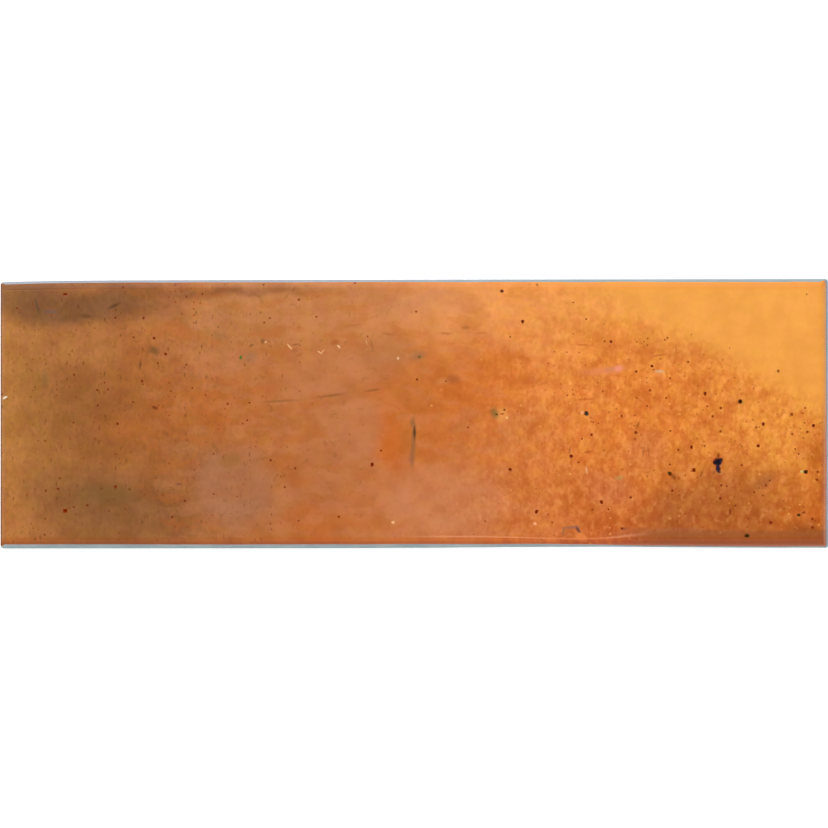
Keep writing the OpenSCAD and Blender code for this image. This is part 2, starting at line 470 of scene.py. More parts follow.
class Nodes:
    """Short calls that add shader nodes to a tree. Each takes sockets or plain values."""

    def __init__(self, tree):
        self.tree = tree
        tree.nodes.clear()

    def add(self, kind, *values, **settings):
        """A node of this kind, with its first inputs set to these values."""
        made = self.tree.nodes.new("ShaderNode" + kind)
        for key, value in settings.items():
            setattr(made, key, value)
        for socket, value in zip(made.inputs, values):
            self.put(socket, value)
        return made

    def put(self, socket, value):
        if isinstance(value, bpy.types.NodeSocket):
            self.tree.links.new(value, socket)
        elif value is not None:
            socket.default_value = value

    def split(self, vector):
        return self.add("SeparateXYZ", vector).outputs[:]

    def join(self, *values):
        return self.add("CombineXYZ", *values).outputs[0]

    def channels(self, colour):
        return self.add("SeparateColor", colour).outputs[:]

    def math(self, operation, *values):
        return self.add("Math", *values, operation=operation).outputs[0]

    def times(self, *factors):
        result = factors[0]
        for factor in factors[1:]:
            result = self.math("MULTIPLY", result, factor)
        return result

    def vmath(self, operation, a, b=None, scale=None):
        made = self.add("VectorMath", a, b, None, scale, operation=operation)
        return made.outputs[1 if operation in ("LENGTH", "DISTANCE", "DOT_PRODUCT") else 0]

    def step(self, value, start, end, low=0.0, high=1.0):
        """Goes smoothly from low to high as value goes from start to end, and stays there."""
        return self.add("MapRange", value, start, end, low, high,
                        interpolation_type="SMOOTHSTEP", clamp=False).outputs[0]

    def mix(self, factor, a, b, blend="MIX"):
        made = self.add("Mix", factor, data_type="RGBA", blend_type=blend, clamp_factor=True)
        colours = [s for s in made.inputs if s.type == "RGBA"]
        self.put(colours[0], a)
        self.put(colours[1], b)
        return [s for s in made.outputs if s.type == "RGBA"][0]


class Graph(Nodes):
    """A material. What paints (coat, tint, shade and blotches) changes self.colour."""

    def __init__(self, name):
        self.material = bpy.data.materials.new(name)
        self.material.use_nodes = True
        super().__init__(self.material.node_tree)
        self.position = self.vmath("SCALE", self.add("TexCoord").outputs["Object"], scale=1 / MM)
        self.x, self.y, _ = self.split(self.position)
        self.plan = self.vmath("MULTIPLY", self.position, (1, 1, 0))
        self.colour = None

    def ramp(self, value, stops):
        """Colour along a line: stops are (place from 0 to 1, screen colour)."""
        made = self.add("ValToRGB", value)
        made.color_ramp.interpolation = "EASE"
        elements = made.color_ramp.elements
        while len(elements) < len(stops):
            elements.new(0.5)
        for element, (at, colour) in zip(elements, stops):
            element.position = at
            element.color = linear(*colour)
        return made.outputs[0]

    def noise(self, vector, size, detail=2.0, roughness=0.5, distortion=0.0, colour=False):
        """Noise from 0 to 1, in lumps of about this size in millimetres. Size may be a pair."""
        if isinstance(size, tuple):
            vector = self.vmath("MULTIPLY", vector, (size[1] / size[0], 1, 1))
            size = size[1]
        made = self.add("TexNoise")
        settings = dict(Vector=vector, Scale=1 / size, Detail=detail, Roughness=roughness,
                        Distortion=distortion)
        for key, value in settings.items():
            self.put(made.inputs[key], value)
        return made.outputs["Color" if colour else "Fac"]

    def wobbled(self, size, amount, offset=0.0):
        """The place seen from above, pushed about by noise, for edges that wander."""
        moved = self.vmath("ADD", self.plan, (offset, offset, 0))
        shifts = [self.math("MULTIPLY_ADD", value, 2 * amount, -amount)
                  for value in self.channels(self.noise(moved, size, detail=3, colour=True))[:2]]
        return self.vmath("ADD", self.plan, self.join(*shifts))

    def coat(self, factor, shade):
        """Mixes in a shade by this factor."""
        self.colour = self.mix(factor, self.colour, linear(*shade))

    def tint(self, value, start, end, strength, shade):
        """Mixes in a shade, up to this strength, as value goes from start to end."""
        self.coat(self.step(value, start, end, 0, strength), shade)

    def shade(self, value, start, end, strength, darkest, lightest):
        """Multiplies the colour by factors that run from darkest to lightest with value."""
        factors = self.mix(self.step(value, start, end), darkest + (1,), lightest + (1,))
        self.colour = self.mix(strength, self.colour, factors, "MULTIPLY")

    def blotches(self, vector, table):
        """Paints each ellipse of a table: x, y, radii, softness, shade, strength and any turn."""
        for x, y, rx, ry, soft, shade, strength, *turn in table.values():
            if turn:
                angle = math.radians(turn[0])
                c, s = math.cos(angle), math.sin(angle)
                axes = ((c / rx, s / rx, 0), (-s / ry, c / ry, 0))
                scaled = self.join(*[self.vmath("DOT_PRODUCT", vector, axis) for axis in axes])
                centre = [axis[0] * x + axis[1] * y for axis in axes] + [0]
            else:
                scaled = self.vmath("MULTIPLY", vector, (1 / rx, 1 / ry, 0))
                centre = (x / rx, y / ry, 0)
            away = self.vmath("DISTANCE", scaled, centre)
            self.tint(away, 1 + soft, 1 - soft, strength, shade)

    def nearest(self, vector, places):
        """Distance to the nearest of these round spots, in its own radii: each is x, y, radius."""
        least = None
        for size in sorted({radius for _, _, radius in places}):
            found = None
            for x, y, radius in places:
                if radius == size:
                    away = self.vmath("DISTANCE", vector, (x, y, 0))
                    found = away if found is None else self.math("MINIMUM", found, away)
            found = self.times(found, 1 / size)
            least = found if least is None else self.math("MINIMUM", least, found)
        return least

    def beyond_line(self, vector, start, end, soft):
        """0 to the right of a line seen from its start, 1 to its left, over this softness."""
        (x0, y0), (x1, y1) = start, end
        run = math.hypot(x1 - x0, y1 - y0)
        across = ((y0 - y1) / run, (x1 - x0) / run, 0)
        offset = self.vmath("SUBTRACT", vector, (x0, y0, 0))
        return self.step(self.vmath("DOT_PRODUCT", offset, across), -soft, soft)

    def scatter(self, vector, spacing, chance, radius):
        """Random round spots up to this radius, in this share of the cells of a random grid."""
        cell = self.add("TexVoronoi", feature="F1", voronoi_dimensions="2D")
        self.put(cell.inputs["Vector"], vector)
        self.put(cell.inputs["Scale"], 1 / spacing)
        pick, scale, _ = self.channels(cell.outputs["Color"])
        shown = self.step(self.math("ADD", pick, chance), 1.0, 1.02)
        edge = self.math("MULTIPLY_ADD", scale, (1 - LEAST_SPOT) * radius / spacing,
                         LEAST_SPOT * radius / spacing)
        soft = SPOT_SOFTNESS / spacing
        return self.step(self.math("SUBTRACT", cell.outputs["Distance"], edge), soft, -soft, 0, shown)

    def wisps(self, vector, size, width, share):
        """Short curved strokes: where a noise crosses its middle, broken up by a second one."""
        line = self.noise(vector, size, detail=0.6)
        away = self.math("ABSOLUTE", self.math("SUBTRACT", line, 0.5))
        breaks = self.noise(self.vmath("ADD", vector, BREAK_OFFSET), BREAK_SIZE, detail=1)
        return self.step(away, width, 0.3 * width, 0, self.step(breaks, 0.56 - share, 0.66 - share))

    def finish(self, roughness, bump_height, bump_strength, bump_distance, **plain):
        bump = self.add("Bump")
        shader = self.add("BsdfPrincipled")
        self.put(bump.inputs["Height"], bump_height)
        self.put(bump.inputs["Strength"], bump_strength)
        self.put(bump.inputs["Distance"], bump_distance)
        self.put(shader.inputs["Normal"], bump.outputs[0])
        self.put(shader.inputs["Base Color"], self.colour)
        self.put(shader.inputs["Roughness"], roughness)
        for key, value in plain.items():
            shader.inputs[key.replace("_", " ")].default_value = value
        self.add("OutputMaterial", shader.outputs[0])
        return self.material


# ---------- glaze

# Colour along the tile, from the left end (0) to the right end (1), by the far side, along the
# middle and by the near side
FAR_COLOURS = (
    (0, (180, 118, 64)), (0.12, (174, 110, 62)), (0.2, (182, 112, 60)), (0.27, (188, 123, 72)),
    (0.45, (204, 130, 75)), (0.55, (229, 147, 82)), (0.63, (240, 153, 79)), (0.8, (241, 160, 75)),
    (1, (244, 164, 76)),
)
MIDDLE_COLOURS = (
    (0, (178, 120, 62)), (0.1, (164, 103, 54)), (0.18, (170, 102, 51)), (0.28, (184, 109, 56)),
    (0.4, (188, 112, 60)), (0.54, (201, 112, 50)), (0.63, (226, 132, 60)), (0.72, (229, 134, 59)),
    (0.86, (226, 134, 57)), (1, (236, 152, 66)),
)
NEAR_COLOURS = (
    (0, (178, 113, 60)), (0.1, (152, 97, 53)), (0.2, (153, 95, 52)), (0.27, (174, 107, 60)),
    (0.4, (188, 109, 56)), (0.5, (200, 119, 68)), (0.64, (210, 119, 59)), (0.75, (200, 104, 45)),
    (0.82, (178, 95, 42)), (0.92, (182, 100, 42)), (1, (212, 116, 46)),
)

# Each mark below is an ellipse: x, y, radii, softness, colour, strength, and its turn in degrees
# where it has one.
# Broad stains, and painted shade at the near right corner
STAINS = dict(
    dark_band=(-84, 26.4, 23, 4.2, 0.5, (126, 84, 52), 0.85, -1),
    band_tail=(-48, 29.6, 24, 1.3, 0.9, (142, 88, 52), 0.75),
    smudge_middle=(-79, 1, 14, 9, 0.6, (144, 88, 44), 0.45, -12),
    smudge_low=(-72, -21, 17, 6.5, 0.6, (130, 88, 52), 0.5, -8),
    smudge_right=(-52, -12, 11, 6, 0.7, (152, 96, 54), 0.35, -10),
    left_glow=(-97, -8, 3, 30, 0.6, (186, 120, 60), 0.4),
    orange_centre=(18, 7, 11, 8, 0.6, (212, 112, 44), 0.55, 20),
    rust_streak=(-5, -6, 3, 8, 0.6, (208, 104, 38), 0.6, 8),
    rust_low=(-23, -26, 8, 3.5, 0.5, (194, 104, 48), 0.6, 15),
    rust_left=(-66, -2, 9, 4, 0.6, (176, 98, 44), 0.45),
    rust_high=(-47, 3, 14, 4, 0.5, (184, 104, 46), 0.5),
    orange_right=(58, 0, 10, 8, 0.7, (220, 116, 44), 0.35, 30),
    gold_right=(90, 2, 10, 14, 0.6, (240, 152, 64), 0.5),
    brown_low=(70, -21, 12, 4, 0.7, (186, 106, 50), 0.5, 12),
    # Painted shade: the near rim at the right corner, darker where it faces away from the light
    shaded_corner=(98, -30, 7, 4, 0.6, (138, 68, 30), 0.7),
    right_end_low=(97, -6, 5, 6, 0.7, (206, 112, 42), 0.5),
    right_end_dark=(99.5, -16, 3, 11, 0.6, (184, 90, 24), 0.6),
    orange_high=(50, 16, 9, 6, 0.7, (216, 116, 42), 0.4),
    tawny_centre=(22, -5, 14, 6, 0.8, (188, 102, 54), 0.35),
    tawny_low=(21, -16, 8, 5, 0.8, (188, 102, 54), 0.25),
    smudge_centre=(-21, -14, 8, 9, 0.8, (172, 100, 54), 0.4),
    glow_high=(-79, 15.5, 9, 4, 0.7, (188, 122, 66), 0.35),
)
CLEAN_LINE = ((49, 28), (93, 4))   # beyond it, at the far right, the glaze is clean and paler
CLEAN_SOFTNESS = 3.5
CLEAN_COLOUR = (246, 166, 76)

# Milky patches, partly cloudy glaze and partly painted reflection of the lamps in its waves, paler
# over the middle and greyer at the left
HAZE_AND_REFLECTION = (206, 138, 100)
MAUVE_REFLECTION = (166, 116, 88)
CLOUDS_AND_REFLECTIONS = dict(
    low_left=(-43, -17, 9.5, 9.5, 0.3, MAUVE_REFLECTION, 0.4, -25),
    left_foot=(-40, -23, 12, 4, 0.25, MAUVE_REFLECTION, 0.15, 10),
    left_small=(-48, 12, 8, 3.5, 0.4, HAZE_AND_REFLECTION, 0.2, 10),
    middle=(-13, -19, 14, 7, 0.45, HAZE_AND_REFLECTION, 0.1, 8),
    middle_high=(-14, -4, 7, 8, 0.35, HAZE_AND_REFLECTION, 0.25, -20),
    middle_right=(9, -21, 14, 9, 0.35, HAZE_AND_REFLECTION, 0.3),
    upper=(-20, 9, 14, 5, 0.5, HAZE_AND_REFLECTION, 0.18, 12),
    upper_right=(3, 27, 12, 3.5, 0.5, HAZE_AND_REFLECTION, 0.28),
    # Two painted highlights: soft pink reflections on the glaze at the right
    right_highlight=(56, -9, 5, 4.5, 0.6, (210, 122, 72), 0.45, 10),
    right_low_highlight=(48, -18.5, 6.5, 3.5, 0.6, (208, 120, 74), 0.5, -25),
    # Painted shade along the near rim, where its slope faces away from the light
    shaded_near_rim=(64, -29.5, 17, 1.6, 0.4, (176, 108, 80), 0.35),
)

# Small marks
MARKS = dict(
    streak=(0.4, -7, 5.5, 0.55, 0.7, (142, 98, 60), 0.6, 88),
    streak_dark=(0.7, -4.6, 1.6, 0.3, 0.7, (70, 52, 28), 0.85, 90),
    streak_high=(0.1, -2.2, 1, 0.5, 0.7, (140, 96, 52), 0.6, 80),
    streak_low=(-0.1, -10.8, 1.6, 0.6, 0.7, (152, 90, 64), 0.5, 90),
    dash_left=(-31.6, 3, 4.2, 0.26, 0.8, (146, 94, 50), 0.65, 3),
    dash_middle=(-19.5, 4.3, 3.1, 0.32, 0.8, (146, 90, 48), 0.7, 8),
    dash_right=(-9.3, 5.6, 1.6, 0.26, 0.7, (142, 84, 42), 0.65, 9),
    chip=(21.7, -0.5, 1.5, 1.5, 0.6, (236, 156, 84), 0.65),
    chip_shade=(20, 0, 0.8, 1.2, 0.8, (136, 104, 52), 0.8, 15),
    chip_left=(20.5, -0.3, 0.3, 0.2, 0.5, (80, 44, 8), 0.9),
    chip_dash=(21.8, -0.2, 0.5, 0.16, 0.5, (130, 44, 4), 0.9),
    chip_high=(22.4, 0.8, 0.25, 0.25, 0.5, (90, 40, 8), 0.9),
    chip_spark=(23, -1.1, 0.25, 0.25, 0.5, (252, 196, 120), 0.9),
    green_fleck=(-41.3, 13.5, 0.45, 0.35, 0.4, (44, 112, 40), 0.9, 80),
    grey_smudge=(-62.2, 15.2, 1.2, 0.8, 0.9, (104, 78, 42), 0.65, -20),
    lilac_smudge=(-38.8, 13.7, 1.2, 1.2, 0.9, (160, 112, 84), 0.5),
    band_curl=(-90.5, 26, 1.8, 0.3, 0.7, (98, 76, 54), 0.7, 105),
    band_blue=(-87.3, 24.6, 1.4, 0.4, 0.8, (112, 88, 80), 0.6),
    band_dark=(-78.6, 23.5, 1.4, 0.45, 0.6, (104, 68, 40), 0.6, -5),
    olive_smudge=(-88.7, 8.3, 0.8, 1.6, 0.9, (130, 94, 54), 0.5),
    olive_low=(-73.2, -19.5, 6.5, 2.2, 0.7, (122, 90, 46), 0.5, -5),
    ochre_patch=(-43.9, -11.3, 2.6, 1.6, 0.5, (158, 102, 46), 0.6, 15),
    olive_right=(85.1, -16.6, 3, 1.2, 0.8, (170, 100, 52), 0.6, 35),
    # A painted highlight: a pink reflection with its tail and violet edge, and a pale dash of
    # reflection beside it
    highlight_tail=(46.4, 10.2, 4.6, 0.8, 0.9, (232, 138, 88), 0.7, 6),
    highlight_violet=(48, 10.5, 1.2, 0.5, 0.9, (196, 124, 96), 0.5, 10),
    pink_highlight=(49.9, 10.7, 0.9, 0.65, 0.8, (246, 152, 122), 0.85, 20),
    highlight_dash=(59.8, 10, 1.1, 0.3, 0.7, (218, 178, 136), 0.8, -3),
    pale_low=(29.8, -26.6, 0.4, 0.35, 0.4, (250, 172, 122), 0.9),
    pale_right=(42.2, -13.8, 0.75, 0.24, 0.6, (242, 174, 122), 0.75, 100),
    pale_near=(-4.5, -26.3, 0.4, 0.35, 0.4, (244, 184, 130), 0.9),
    scratch_1=(-29.5, 16.1, 0.85, 0.17, 0.4, (244, 190, 130), 0.8, -48),
    shade_1=(-28.1, 16.6, 1.1, 0.16, 0.4, (136, 88, 44), 0.7, 12),
    scratch_2=(-22.2, 14.7, 0.7, 0.17, 0.4, (238, 184, 128), 0.75, -30),
    fork_2=(-21.5, 14.9, 0.6, 0.14, 0.4, (232, 180, 124), 0.7, 50),
    scratch_3=(-17.6, 16.1, 0.5, 0.22, 0.4, (248, 196, 146), 0.8, -45),
    scratch_4=(-10.9, 17.1, 0.7, 0.17, 0.6, (224, 166, 116), 0.6, 100),
    scratch_5=(-35.3, 17.2, 0.35, 0.2, 0.5, (240, 186, 130), 0.7, 30),
    shade_5=(-36, 17.4, 0.5, 0.6, 0.8, (118, 70, 36), 0.65),
    halo_grey=(-6, 14.5, 6, 3.6, 0.8, (164, 114, 76), 0.3),
    halo_dark=(1.6, 13.9, 1.6, 1, 0.9, (150, 106, 70), 0.5, 10),
    halo_dot=(1.9, 13.6, 0.42, 0.33, 0.7, (104, 78, 42), 0.75, 20),
    halo_spark=(-3.3, 13.3, 0.3, 0.35, 0.6, (232, 190, 140), 0.75),
    halo_mark=(-9.6, 16.3, 0.3, 1.2, 0.8, (150, 92, 48), 0.5, 15),
    umber_glow=(7.4, 7.7, 1.4, 0.7, 0.9, (214, 134, 78), 0.6, 20),
    umber_patch=(9.9, 8.2, 1.5, 1, 0.8, (160, 82, 36), 0.6),
    umber_stroke=(8.2, 19.2, 1.3, 0.3, 0.9, (172, 98, 48), 0.6, -4),
    umber_blot=(13.1, 20.6, 0.8, 0.4, 0.9, (168, 96, 48), 0.6),
    umber_thin=(16.6, 19.3, 1.4, 0.28, 0.9, (188, 112, 56), 0.5, 5),
    stroke_high=(-14, 21.2, 2, 0.28, 0.9, (174, 104, 56), 0.5, 8),
    stroke_mid=(-5.6, 19.1, 1.2, 0.3, 0.9, (168, 98, 48), 0.55, -5),
    blot_mid=(-18.5, 17.1, 1, 0.6, 0.8, (168, 86, 40), 0.6, 15),
    left_hair=(-65.6, 11.7, 0.28, 1.1, 0.7, (98, 58, 30), 0.65, -6),
    left_blot=(-62, 1.4, 0.75, 0.35, 0.6, (112, 48, 18), 0.75, -20),
    left_speck=(-38.7, 16.4, 0.6, 0.25, 0.7, (118, 72, 40), 0.6, 20),
    left_olive=(-46.1, 18.6, 1.6, 1.2, 0.9, (150, 102, 66), 0.45),
    left_squiggle=(-71.9, 26, 1.4, 0.35, 0.8, (86, 56, 36), 0.7, 25),
    stroke_right=(54.6, -2.8, 0.3, 0.75, 0.7, (152, 74, 22), 0.75, -20),
    bars_left=(55.9, -9.4, 0.2, 1.3, 0.7, (172, 90, 44), 0.6, -8),
    bars_right=(57.1, -9.2, 0.2, 1.4, 0.7, (176, 92, 46), 0.6, 6),
    pale_green=(50.1, -15.6, 1, 0.5, 0.8, (190, 150, 84), 0.6, 15),
    smear_low=(55.6, -27.9, 1.1, 0.45, 0.8, (166, 82, 40), 0.65, 5),
    smear_violet=(51.3, -27.9, 0.9, 0.35, 0.8, (140, 76, 56), 0.6, 5),
    smear_middle=(42.5, -9.4, 1, 0.25, 0.7, (172, 82, 32), 0.65, 8),
    stem_dark=(38.2, -8.8, 0.22, 0.9, 0.7, (148, 84, 34), 0.6, -10),
    curve_high=(59.6, 13.9, 1.7, 0.2, 0.7, (188, 96, 40), 0.65, 8),
    streak_up=(63.8, 15.3, 0.22, 1.2, 0.7, (196, 106, 46), 0.6, 5),
    line_high=(41.4, 16.4, 1.8, 0.2, 0.7, (190, 100, 46), 0.6, -3),
    line_middle=(42, 3.3, 1.9, 0.2, 0.7, (188, 94, 36), 0.6, 3),
    smear_keyhole=(69.9, -14.7, 0.26, 0.9, 0.7, (142, 72, 26), 0.7, -22),
    curl_low=(89.4, -24.3, 0.9, 0.45, 0.8, (190, 80, 22), 0.5, 30),
    foot_dark=(65.6, -30.2, 1.3, 0.35, 0.7, (118, 72, 50), 0.65, -4),
    end_chip=(-98.3, 3.9, 0.6, 0.25, 0.4, (240, 224, 196), 0.95, 25),
    arc_shade=(38.6, -27.5, 1.9, 0.34, 0.7, (150, 100, 80), 0.7, 4),
    arc_end=(40.2, -28.1, 0.8, 0.4, 0.5, (84, 56, 62), 0.8, -55),
    arc_start=(36.6, -28.5, 1, 0.25, 0.6, (132, 88, 68), 0.6, 82),
    amber_drop=(41, -29.9, 1.3, 0.9, 0.6, (242, 146, 76), 0.6, -20),
    violet_dash=(-56.2, -17, 0.7, 0.2, 0.5, (112, 72, 66), 0.7, 5),
    brown_dash=(76.8, -23.8, 0.7, 0.25, 0.5, (128, 52, 20), 0.8, 85),
    green_edge=(94.1, -14.1, 0.35, 0.3, 0.4, (206, 196, 120), 0.9),
)

# The blackest pits, painted last: some have a pale or a green rim
PITS = dict(
    keyhole=(73.9, -11.9, 0.85, 0.8, 0.35, (14, 26, 40), 0.95),
    keyhole_right=(74.6, -11.3, 0.5, 0.45, 0.4, (16, 28, 40), 0.9),
    keyhole_left=(73.1, -11.9, 0.45, 0.4, 0.4, (26, 26, 34), 0.9),
    keyhole_stem=(73.9, -13.4, 0.5, 0.95, 0.4, (20, 34, 52), 0.9),
    keyhole_foot=(74.3, -14.3, 0.3, 0.3, 0.5, (40, 24, 30), 0.8),
    keyhole_top=(74, -10.2, 0.35, 0.6, 0.6, (130, 52, 8), 0.8),
    keyhole_smear=(72.9, -14.4, 0.5, 0.25, 0.7, (128, 64, 30), 0.6, 45),
    high_glow=(79.9, 2.4, 0.5, 0.5, 0.6, (206, 150, 60), 0.6),
    right_high=(79.3, 2.7, 0.45, 0.5, 0.4, (46, 34, 8), 0.95),
    teal=(42.2, -0.1, 0.45, 0.45, 0.4, (40, 54, 40), 0.9),
    teal_rim=(41.2, 0.1, 0.35, 0.4, 0.5, (250, 176, 128), 0.7),
    olive_low=(80.9, -29.6, 0.7, 0.5, 0.5, (58, 42, 4), 0.95),
    olive_middle=(62.2, -14.5, 0.5, 0.4, 0.5, (74, 54, 12), 0.9, -30),
    olive_tail=(63.2, -15.4, 0.7, 0.4, 0.6, (120, 66, 24), 0.7, -50),
    green_rimmed=(95, -14.2, 0.5, 0.35, 0.4, (54, 40, 10), 0.95),
    navy_high=(21.8, 29.4, 0.4, 0.4, 0.4, (104, 52, 38), 0.8),
    brown_high=(26.8, 22.1, 0.35, 0.35, 0.5, (104, 44, 4), 0.8),
    green_corner=(93.4, -24.6, 0.45, 0.3, 0.5, (58, 54, 6), 0.9, 30),
)

# Pinholes are red-brown, and darker in the middle
HOLE_RIM = (134, 46, 2)
HOLE_MIDDLE = (96, 26, 0)

# The red-brown spots that stand out: x, y and radius
RUST_SPOTS = (
    (74.6, 1.2, 0.34), (66.7, 12.3, 0.26), (61.7, 18.1, 0.26), (76.7, 15.6, 0.16), (95.3, 28.5, 0.2),
    (72.6, -0.8, 0.32), (95.4, -4.6, 0.34), (97.8, -16.1, 0.3), (86.6, -26.4, 0.42),
    (96.7, -27.6, 0.36), (50.8, -27.8, 0.34), (62.4, -4.3, 0.27), (37.6, 4.3, 0.2), (39, 26.6, 0.2),
    (40.3, -11.9, 0.24), (1.3, 8.2, 0.29), (8.3, 7.7, 0.22), (13.6, -3.4, 0.22), (-7.4, -9, 0.28),
    (-17.6, -24.9, 0.32), (-28.1, -13.2, 0.26), (-39.7, -1.6, 0.24), (-35.6, 21.9, 0.22),
    (-10.6, 18.5, 0.2), (43.8, -2.2, 0.2), (45.1, -2.5, 0.17), (41.1, -6.2, 0.24), (46.1, 5.2, 0.22),
    (25.6, 0.4, 0.17),
    (-27.3, 27.4, 0.28), (-23, 23.3, 0.22), (-13.7, 31.4, 0.28), (1.1, 24.5, 0.26),
    (-74.2, 7.5, 0.24), (-73.4, 5.8, 0.24), (-65.1, 7.8, 0.32), (-67.3, 2.8, 0.26),
    (-71.1, -2.4, 0.34), (-76, 5.7, 0.32), (-75.9, 2, 0.28), (-67.2, 18.4, 0.24),
    (-71.6, 23.1, 0.28), (-53, 6.2, 0.22), (-58.2, 5.4, 0.2), (-39.2, 2.6, 0.26),
    (-69.7, 30.5, 0.32), (-35.8, 31, 0.28), (-50.5, 28.8, 0.24), (54.1, -4.7, 0.4),
    (50.6, -0.7, 0.28), (56.8, 1.7, 0.24), (52.9, -20.3, 0.36), (47.5, -23.1, 0.24),
    (43.6, -23.3, 0.22), (17.8, -26, 0.2), (46.6, 17.3, 0.22), (62.4, 8.3, 0.26),
    (42.1, 22.7, 0.22), (56, 17.2, 0.18), (61.4, 3.6, 0.26), (62.3, -12.4, 0.28),
    (71.3, 1.6, 0.24), (79.6, -12.6, 0.28), (79.6, -8, 0.2), (76, -17.6, 0.22),
    (62.9, -18.7, 0.3), (82.6, -19.1, 0.28), (84.7, -19.9, 0.24), (85.4, -17.4, 0.28),
    (86.3, -16.3, 0.26), (83.1, -3.5, 0.28), (92.5, -8.7, 0.24), (93.3, -9.9, 0.24),
    (93.7, -3.8, 0.18), (97.9, -14.2, 0.28), (96.6, -25.5, 0.32), (94.2, -30.1, 0.3),
)


# Noises that push the paint about: lump size, how far it is moved, and where the noise is read.
# The broad one is for stains, the patchy one for clouds, and the fine one for marks and spots.
BROAD, PATCHY, FINE = (16, 5), (5, 1.8, 20), (0.55, 0.16, 40)
WORN = (1.2, 0.35, 60)

# Where along the tile each texture starts to show, and where it shows in full
LEFT_PART, DIRTY_PART = (-15, -60), (20, -30)
RIGHT_PART, CROWDED_PART = (-10, 46), (10, 70)

# Factors on red, green and blue, where a texture is darkest and where it is lightest
LUMPS = ((0.91, 0.87, 0.84), (1.09, 1.13, 1.16))
DRIFT = ((0.985, 1.02, 0.9), (1.015, 0.98, 1.1))
ISLANDS = ((0.88, 0.73, 0.64), (1.13, 1.27, 1.34))
FLECKS = ((0.84, 0.70, 0.60), (1.13, 1.24, 1.34))
STROKES = ((0.82, 0.83, 0.88), (1.16, 1.13, 1.08))

# The same, as painted shade over the rounding at the far, near and right edge, and just inside it
PLAIN = (1.0, 1.0, 1.0)
FAR_EDGE_SHADE, NEAR_EDGE_SHADE, RIGHT_EDGE_SHADE = (0.95, 0.87, 0.72), (1.02, 0.78, 0.42), (0.98, 0.93, 0.6)

# Shades of the finer paint. The sag line's is a painted highlight, the far edge's pale one is partly
# thin glaze and partly painted highlight, and the near, left and right edge ones are painted shade
BRUSHED_RUST = (190, 96, 34)
DARK_WISP, PALE_WISP, DIRT = (182, 80, 22), (255, 176, 104), (126, 76, 38)
SMALL_SPOT, LARGE_SPOT, PALE_SPOT = (136, 52, 4), (112, 34, 0), (255, 176, 92)
HAIR, RUST_SPOT, SAG_HIGHLIGHT = (98, 54, 18), (116, 28, 0), (238, 158, 116)
FAR_THIN_GLAZE_AND_HIGHLIGHT, FAR_DARK = (246, 158, 66), (126, 80, 46)
NEAR_RIM_SHADE, NEAR_ROUNDING_SHADE = (158, 88, 44), (150, 62, 14)
LEFT_EDGE_SHADE, RIGHT_RIM_SHADE = (70, 46, 26), (180, 100, 24)


def paint_ground(g, broad, patchy):
    """Broad colours, stains and painted shade at the near right corner. Gives how clean the glaze is,
    and how much texture it has.
    """
    x, y, _ = g.split(broad)
    along = g.math("MULTIPLY_ADD", x, 0.5 / HALF_X, 0.5)
    g.colour = g.mix(g.step(y, 6, 26), g.ramp(along, MIDDLE_COLOURS), g.ramp(along, FAR_COLOURS))
    g.colour = g.mix(g.step(y, -4, -26), g.colour, g.ramp(along, NEAR_COLOURS))
    g.blotches(broad, STAINS)
    clean = g.beyond_line(patchy, *CLEAN_LINE, CLEAN_SOFTNESS)
    g.coat(g.times(clean, 0.7), CLEAN_COLOUR)
    return clean, g.math("MULTIPLY_ADD", clean, -0.9, 1)


def paint_clouds_and_reflections(g, patchy, clean):
    """Soft lumps, a drift between pink and olive, brushed patches, and milky patches that are partly
    cloudy glaze and partly painted reflection.
    """
    lumps = g.noise(g.plan, 6, detail=4, roughness=0.6)
    uneven = g.math("MULTIPLY_ADD", clean, -0.5, 1)
    g.shade(lumps, 0.3, 0.7, uneven, *LUMPS)
    drift = g.noise(patchy, 3.4, detail=3, roughness=0.6)
    g.shade(drift, 0.34, 0.66, uneven, *DRIFT)
    middle = g.times(g.step(g.x, -75, -55), g.step(g.x, 45, 20))
    brushed = g.noise(patchy, (9, 3.5), detail=3, roughness=0.5)
    g.tint(brushed, 0.5, 0.58, g.times(middle, 0.14), HAZE_AND_REFLECTION)
    g.tint(brushed, 0.47, 0.39, g.times(middle, 0.22), BRUSHED_RUST)
    # Milky patches, partly cloudy glaze and partly painted reflection, with painted highlights and
    # painted shade by the near rim
    g.blotches(patchy, CLOUDS_AND_REFLECTIONS)
    return lumps


def paint_mottling(g, textured):
    """Mottling, strong over the right part and nearly absent from the clean far corner."""
    mottled = g.times(g.step(g.x, *RIGHT_PART), g.step(g.y, 28, 6, 0.4, 1), textured)
    islands = g.noise(g.plan, (2.6, 3.2), detail=2.5, roughness=0.55, distortion=0.35)
    g.shade(islands, 0.36, 0.66, g.times(mottled, 0.64), *ISLANDS)
    flecks = g.noise(g.plan, (0.9, 1.4), detail=1.5, roughness=0.5)
    g.shade(flecks, 0.30, 0.72, g.times(mottled, 0.4), *FLECKS)
    return mottled, islands, flecks


def paint_wisps(g, patchy, mottled):
    """Wisps in the mottling, and soft strokes and dirt down the left part."""
    worn = g.wobbled(*WORN)
    dark_wisps = g.wisps(worn, (2.0, 2.4), 0.08, 0.03)
    g.coat(g.times(dark_wisps, mottled, 0.3), DARK_WISP)
    pale_wisps = g.wisps(g.vmath("ADD", worn, (20, 80, 0)), (2.2, 2.8), 0.11, 0.02)
    g.coat(g.times(pale_wisps, mottled, 0.16), PALE_WISP)
    left = g.step(g.x, *LEFT_PART)
    strokes = g.noise(patchy, (1.0, 2.0), detail=2.5, roughness=0.6)
    g.shade(strokes, 0.3, 0.7, g.times(left, 0.45), *STROKES)
    dirt = g.wisps(g.vmath("ADD", worn, (60, 20, 0)), (1.5, 2.2), 0.07, -0.01)
    g.coat(g.times(dirt, g.step(g.x, *DIRTY_PART), 0.27), DIRT)
    return left


